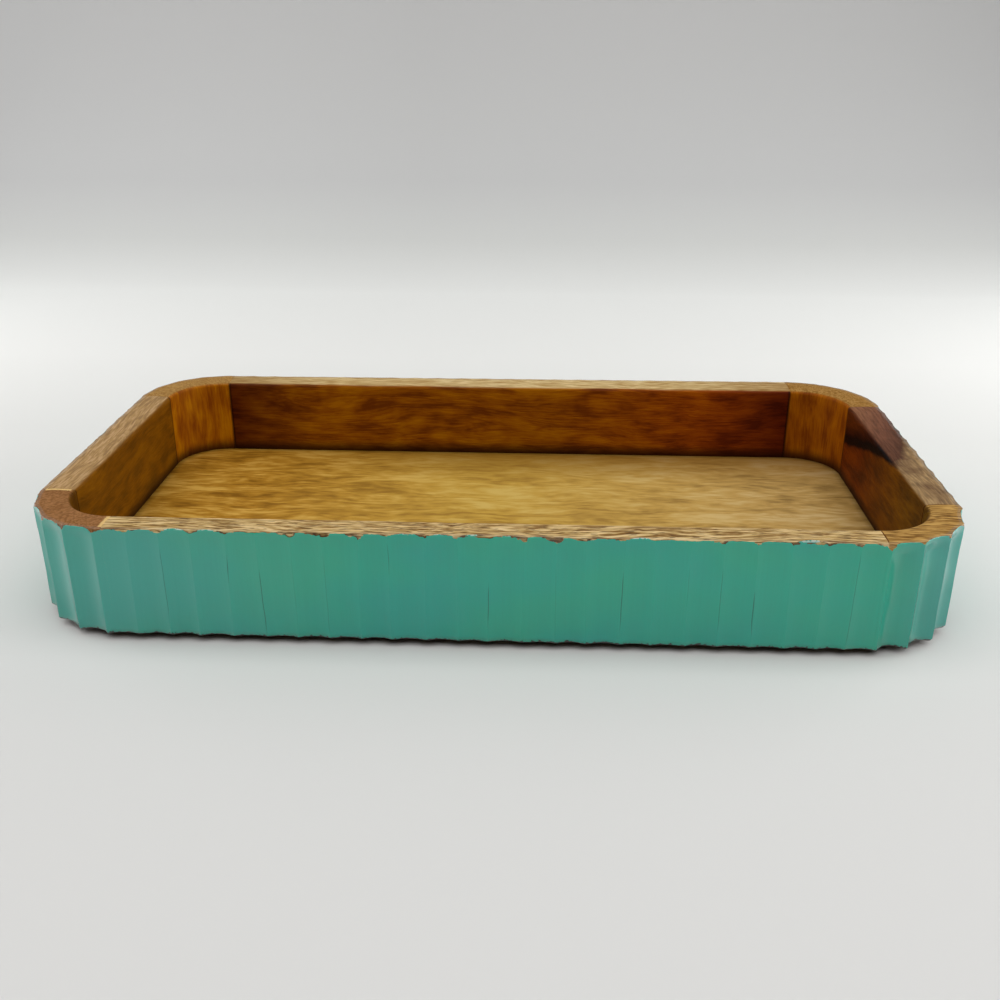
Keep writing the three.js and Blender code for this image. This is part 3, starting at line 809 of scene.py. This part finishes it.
def oiled_panel():
    material, tree, shader, place = finish_named("mango_panel_oiled")
    layers = wood_layers(tree, place, "x", panel_flow, panel_wave, panel_figure)
    weights = {"flame": 0.4, "streak": 0.35, "mottle": 0.25}
    axes = add(tree, "SeparateXYZ", {0: place})
    colour = toned(tree, layers, weights, [(0.4, "#825711"), (0.5, "#ab7a24"), (0.6, "#cda048")])
    for start, end, tones in (
        (-100, -10, ("#9e7830", "#bd9740", "#caaa5a")),
        (0, 115, ("#937440", "#bb9655", "#ccae76")),
    ):
        next_tone = toned(tree, layers, weights, list(zip((0.38, 0.5, 0.62), tones)))
        along = {"Value": axes.outputs["X"], "From Min": start * MM, "From Max": end * MM}
        along = add(tree, "MapRange", along).outputs[0]
        colour = add(tree, "Mix", {0: along, 6: colour, 7: next_tone}, data_type="RGBA").outputs[2]

    # Distance to the nearest wall: how far a point is from the edge of a rectangle with round corners
    past = add(tree, "VectorMath", {0: place}, operation="ABSOLUTE")
    core = ((inside_x - inside_bend) * MM, (inside_y - inside_bend) * MM, 1.0)
    past = add(tree, "VectorMath", {0: past.outputs[0], 1: core}, operation="SUBTRACT")
    past = add(tree, "VectorMath", {0: past.outputs[0], 1: (0, 0, 0)}, operation="MAXIMUM")
    past = add(tree, "VectorMath", {0: past.outputs[0]}, operation="LENGTH")
    nearest = add(tree, "Math", {0: inside_bend * MM, 1: past.outputs["Value"]}, operation="SUBTRACT")
    nearest = nearest.outputs[0]

    # Oil darkening along the walls and towards the back, less at the left, and dirt at the walls, with
    # painted shade over both
    wavy = add(tree, "Math", {0: layers["mottle"], 1: 14 * MM, 2: nearest}, operation="MULTIPLY_ADD")
    side_dark = {"Value": wavy.outputs[0], "From Min": 22 * MM, "From Max": 6 * MM, "To Max": 0.3}
    side_dark = add(tree, "MapRange", side_dark).outputs[0]
    least_dark, most_dark = 0.192, 0.704
    most = {"Value": axes.outputs["X"], "From Min": -110 * MM, "From Max": -10 * MM}
    most = add(tree, "MapRange", most | {"To Min": least_dark, "To Max": most_dark}).outputs[0]
    back_dark = {"Value": axes.outputs["Y"], "From Min": 38 * MM, "From Max": 66 * MM, "To Max": most}
    back_dark = add(tree, "MapRange", back_dark).outputs[0]
    dark = add(tree, "Math", {0: side_dark, 1: back_dark}, operation="MAXIMUM").outputs[0]
    marks = [(dark, 0.0, 1.0, 1.0, "#6e4400"), (nearest, 2.5 * MM, 0.0, 0.4, "#331a00")]
    colour = covered(tree, colour, marks)
    bump = add(tree, "Bump", {"Strength": 0.2, "Distance": 0.2 * MM, "Height": layers["streak"]})
    fill(tree, shader, {"Base Color": colour, "Roughness": 0.6, "Normal": bump.outputs[0]})
    fill(tree, shader, {"IOR": 1.5, "Specular IOR Level": 0.1})
    return material


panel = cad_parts["base_panel"]
panel.data.materials.clear()
panel.data.materials.append(oiled_panel())
print("panel finished,", round(2 * inside_x, 1), "x", round(2 * inside_y, 1), "mm of it in sight")

# %% [markdown]
# ## Dowels, brads and bumpers
#
# Turned beech dowels hide in the joints, bright steel brads show only their heads under the panel, and the
# bumpers are black moulded rubber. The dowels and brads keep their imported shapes.

# %% Finish the small pieces


def beech():
    """Turned beech: pale pink-brown, with fine flecks."""
    material, tree, shader, place = finish_named("beech_turned")
    fleck = add(tree, "TexNoise", {"Vector": place, "Scale": 1 / (0.5 * MM), "Detail": 2.0})
    tones = [(0.35, "#b8895c"), (0.6, "#d4b083")]
    colour = add(tree, "ValToRGB", {0: fleck.outputs["Fac"]}, stops=tones)
    fill(tree, shader, {"Base Color": colour.outputs[0], "Roughness": 0.6})
    return material


def drawn_steel():
    """Drawn steel wire: grey metal with fine scratches along the brad."""
    material, tree, shader, place = finish_named("steel_drawn_bright")
    scratch = add(tree, "VectorMath", {0: place, 1: cells(0.15, 0.15, 4)}, operation="MULTIPLY")
    scratch = add(tree, "TexNoise", {"Vector": scratch.outputs[0], "Scale": 1.0, "Detail": 2.0})
    tones = [(0.3, "#8f8f8c"), (0.7, "#b4b4b0")]
    colour = add(tree, "ValToRGB", {0: scratch.outputs["Fac"]}, stops=tones)
    rough = add(tree, "MapRange", {"Value": scratch.outputs["Fac"], "To Min": 0.2, "To Max": 0.5})
    fill(tree, shader, {"Base Color": colour.outputs[0], "Roughness": rough.outputs[0], "Metallic": 1.0})
    return material


def moulded_rubber():
    """Moulded black rubber: dark grey and matt, with a fine pebble from the mould and a little dust."""
    material, tree, shader, place = finish_named("rubber_moulded_black")
    pebble = add(tree, "TexNoise", {"Vector": place, "Scale": 1 / (0.35 * MM), "Detail": 2.0})
    dust = add(tree, "TexNoise", {"Vector": place, "Scale": 1 / (4 * MM), "Detail": 3.0})
    tones = [(0.4, "#1f1e1d"), (0.7, "#34322f")]
    colour = add(tree, "ValToRGB", {0: dust.outputs["Fac"]}, stops=tones)
    bump = add(tree, "Bump", {"Strength": 0.3, "Distance": 0.1 * MM, "Height": pebble.outputs["Fac"]})
    fill(tree, shader, {"Base Color": colour.outputs[0], "Roughness": 0.75, "Normal": bump.outputs[0]})
    return material


small_finishes = {"dowel": beech(), "brad": drawn_steel()}
for name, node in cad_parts.items():
    kind = name.split("_")[0]
    if kind in small_finishes:
        node.data.materials.clear()
        node.data.materials.append(small_finishes[kind])
rubber = moulded_rubber()
for piece in bumpers:
    piece.data.materials.append(rubber)
print("finished", len(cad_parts) - len(wall_pieces) - 1, "small pieces")

# %% [markdown]
# ## Table and backdrop
#
# The tray stands on a white table that sweeps up into a backdrop, so there is no horizon line. One smooth
# sheet does it. Its colour holds painted light and shade: the card is palest just behind the tray, and
# greyer in front of it and towards the top. A faint glow that only the camera sees lifts it further back,
# most of all at the left. Seen from below the sheet is clear, so that the underside of the tray can be
# looked at.

# %% Build the sweep
sweep_start = 0.42
sweep_radius = 0.32
sweep_reach = 2.0
bow = np.linspace(0, math.pi / 2, 25)
sweep_back = sweep_start + sweep_radius
sweep_y = np.concatenate([[-sweep_reach], sweep_start + sweep_radius * np.sin(bow), [sweep_back]])
sweep_z = np.concatenate([[0.0], sweep_radius * (1 - np.cos(bow)), [sweep_reach]])
sweep_points = [(x, y, z) for x in (-sweep_reach, sweep_reach) for y, z in zip(sweep_y, sweep_z)]
stations = len(sweep_y)
sweep_faces = [(i, i + stations, i + stations + 1, i + 1) for i in range(stations - 1)]
sweep_mesh = smooth_mesh("sweep", sweep_points, sweep_faces)
sweep = bpy.data.objects.new("sweep", sweep_mesh)
bpy.context.scene.collection.objects.link(sweep)

material, tree, shader, place = finish_named("white_card_matt")
axes = add(tree, "SeparateXYZ", {0: place})
way_up = add(tree, "Math", {0: axes.outputs["Y"], 1: axes.outputs["Z"]}, operation="ADD").outputs[0]
# painted light and shade: palest just behind the tray, greyer in front of it and towards the top
card_stops = {
    # metres back and up the sweep
    -0.1: "#d9d8d6",
    0.12: "#e0e0dd",
    0.25: "#eeeeeb",
    0.42: "#f3f4f1",
    0.55: "#d8d9d6",
    0.66: "#cbcbca",
    0.95: "#c6c5c4",
}
first, last = min(card_stops), max(card_stops)
up_card = add(tree, "MapRange", {"Value": way_up, "From Min": first, "From Max": last})
stops = [((way - first) / (last - first), colour) for way, colour in card_stops.items()]
card = add(tree, "ValToRGB", {0: up_card.outputs[0]}, stops=stops)
even_glow, left_glow = 0.075, 0.1425
left = {"Value": axes.outputs["X"], "From Min": -0.1, "From Max": -0.45}
left = add(tree, "MapRange", left | {"To Min": even_glow, "To Max": left_glow}).outputs[0]
far = add(tree, "MapRange", {"Value": way_up, "From Min": 0.0, "From Max": 0.7, "To Max": left})
seen = add(tree, "LightPath").outputs["Is Camera Ray"]
glow = add(tree, "Math", {0: far.outputs[0], 1: seen}, operation="MULTIPLY")
fill(tree, shader, {"Base Color": card.outputs[0], "Roughness": 0.9, "Specular IOR Level": 0.2})
fill(tree, shader, {"Emission Color": linear("#ffffff"), "Emission Strength": glow.outputs[0]})
clear = add(tree, "BsdfTransparent")
behind = add(tree, "NewGeometry").outputs["Backfacing"]
either = add(tree, "MixShader", {0: behind, 1: shader.outputs[0], 2: clear.outputs[0]})
fill(tree, tree.nodes["Material Output"], {"Surface": either.outputs[0]})
sweep_mesh.materials.append(material)
print("sweep rises", sweep_start, "m behind the tray")

# %% [markdown]
# ## Light
#
# The light is that of a small photo tent with its front open to a dim room: a soft sky at the back, the
# sides and the top, a broad panel overhead, and a panel at each side, close to the tray, that brightens the
# flutes turned towards it. With little light from low in front, the gap under the tray goes dark. The
# levels are plain, so a surface that lies flat on the table shows about the colour that is written for it.
# To the camera itself the sky is a plain pale backdrop, which lights nothing.

# %% Light the tent
world = bpy.data.worlds.new("tent")
bpy.context.scene.world = world
world.use_nodes = True
tree = world.node_tree
towards = add(tree, "SeparateXYZ", {0: add(tree, "TexCoord").outputs["Generated"]})
front = add(tree, "MapRange", {"Value": towards.outputs["Y"], "From Min": -0.05, "From Max": -0.4})
low_down = add(tree, "MapRange", {"Value": towards.outputs["Z"], "From Min": 0.85, "From Max": 0.5})
opening = add(tree, "Math", {0: front.outputs[0], 1: low_down.outputs[0]}, operation="MULTIPLY")
both = {0: opening.outputs[0], 6: linear("#f6f7f7"), 7: linear("#211f1e")}
sky = add(tree, "Mix", both, data_type="RGBA")
tent = tree.nodes["Background"]
fill(tree, tent, {"Color": sky.outputs[2], "Strength": 0.5})
seen = add(tree, "LightPath").outputs["Is Camera Ray"]
backdrop = add(tree, "Background", {"Color": linear("#dcdddb"), "Strength": 1.0})
either = add(tree, "MixShader", {0: seen, 1: tent.outputs[0], 2: backdrop.outputs[0]})
fill(tree, tree.nodes["World Output"], {"Surface": either.outputs[0]})


def light_panel(name, place, aim, size, watts):
    light = bpy.data.lights.new(name, "AREA")
    light.shape = "RECTANGLE"
    light.size, light.size_y = size
    light.energy = watts
    panel = bpy.data.objects.new(name, light)
    panel.location = place
    panel.rotation_euler = (Vector(place) - Vector(aim)).to_track_quat("Z", "Y").to_euler()
    panel.visible_camera = False
    bpy.context.scene.collection.objects.link(panel)


light_panel("overhead_panel", (0, -0.45, 1.1), (0, -0.45, 0), (2.2, 1.4), 13.5)
light_panel("left_panel", (-0.55, 0.1, 0.22), (0, 0, 0.02), (0.5, 0.35), 0.8)
light_panel("right_panel", (0.55, 0.1, 0.22), (0, 0, 0.02), (0.5, 0.35), 1.3)

# %% [markdown]
# ## Camera
#
# The camera stands close in front of the tray, a little right of its middle, and looks down at it. Its
# place and lens come from a fit of the tray's edges to the photograph, taken as 1000 pixels square.

# %% Set the camera
camera_data = bpy.data.cameras.new("camera")
camera_data.sensor_width = 36.0
camera_data.lens = 39.55
camera = bpy.data.objects.new("camera", camera_data)
camera_place = (0.0160, -0.3849, 0.1850)
camera_tilt, camera_turn, camera_roll = (math.radians(a) for a in (23.535, 2.383, 0.083))
camera.matrix_world = (
    Matrix.Translation(camera_place)
    @ Matrix.Rotation(camera_turn, 4, "Z")
    @ Matrix.Rotation(math.pi / 2 - camera_tilt, 4, "X")
    @ Matrix.Rotation(camera_roll, 4, "Z")
)
bpy.context.scene.collection.objects.link(camera)
bpy.context.scene.camera = camera
bpy.context.scene.view_settings.view_transform = "Standard"
print("camera at", [round(v, 4) for v in camera.matrix_world.translation])
